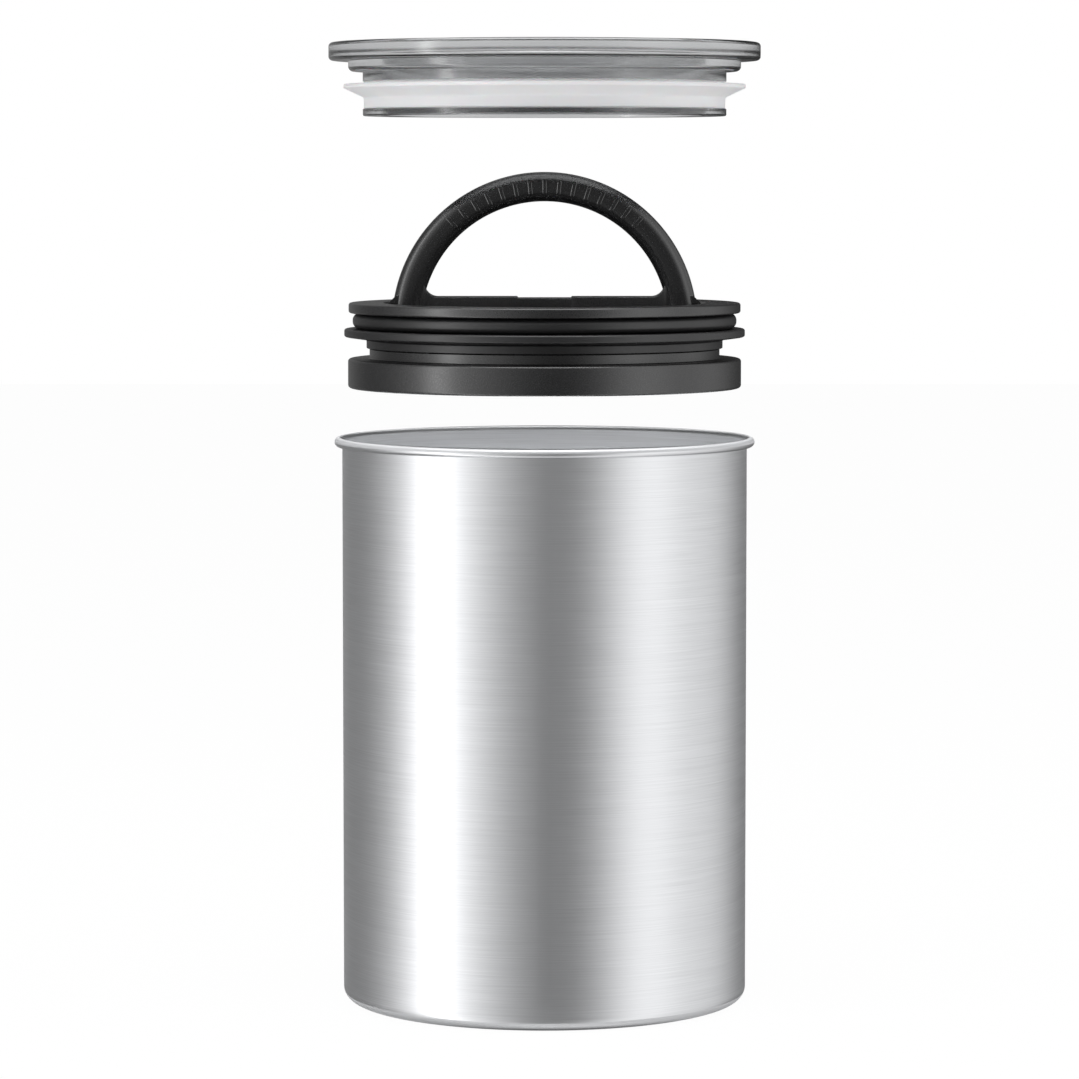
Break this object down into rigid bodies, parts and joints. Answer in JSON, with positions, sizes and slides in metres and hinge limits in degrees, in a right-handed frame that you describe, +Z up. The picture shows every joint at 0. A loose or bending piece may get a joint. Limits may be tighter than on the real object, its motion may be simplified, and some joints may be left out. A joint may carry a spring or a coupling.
{
  "type": "food canister",
  "caption": "Round brushed-steel food canister with a clear press-in outer lid and a black press-down inner lid whose folding handle works an air valve.",
  "frame": {"origin": "centre of the can's standing ring, on the surface it rests on", "axes": "+Z up along the can's axis, -Y towards the viewer, +X to the right along the handle's hinge"},
  "size_m": [0.1278, 0.1278, 0.2852],
  "materials": {
    "brushed_steel": "round-brushed stainless steel",
    "smoke_clear_plastic": "clear smoke-grey moulded plastic",
    "white_silicone": "soft matt white silicone",
    "black_plastic": "satin black moulded plastic",
    "black_rubber": "satin black rubber",
    "grey_silicone": "soft grey silicone",
    "steel_hardware": "plain bright steel"
  },
  "bodies": {
    "canister": {"canister_shell": "brushed_steel"},
    "outer_lid": {"outer_lid_cover": "smoke_clear_plastic", "outer_lid_seal": "white_silicone"},
    "inner_lid": {"deck": "black_plastic", "piston_ring": "black_plastic", "bottom_plate": "black_plastic", "plate_seal": "black_rubber", "chimney_seal": "black_rubber", "bead_seal": "black_rubber", "wiper_seal": "black_rubber", "clamp_screws": "steel_hardware", "left_hinge_pin": "steel_hardware", "right_hinge_pin": "steel_hardware", "valve_spring": "steel_hardware"},
    "handle": {"handle": "black_plastic"},
    "valve": {"valve_stem": "black_plastic", "valve_button": "black_plastic", "valve_disc": "grey_silicone"}
  },
  "joints": [
    {"name": "outer_lid_lift", "type": "slide", "parent": "canister", "child": "outer_lid", "axis": [0, 0, 1], "range_m": [-0.1112, 0]},
    {"name": "inner_lid_press", "type": "slide", "parent": "outer_lid", "child": "inner_lid", "axis": [0, 0, 1], "range_m": [-0.069, 0]},
    {"name": "handle_fold", "type": "hinge", "parent": "inner_lid", "child": "handle", "pos_m": [0, 0, 0.2031], "axis": [-1, 0, 0], "range_deg": [0, 90]},
    {"name": "valve_close", "type": "slide", "parent": "inner_lid", "child": "valve", "axis": [0, 0, -1], "range_m": [0, 0.002], "deforming": ["valve_spring"]}
  ],
  "couplings": [
    {"joint": "valve_close", "follows": "handle_fold", "m_per_rad": 0.0012732}
  ]
}
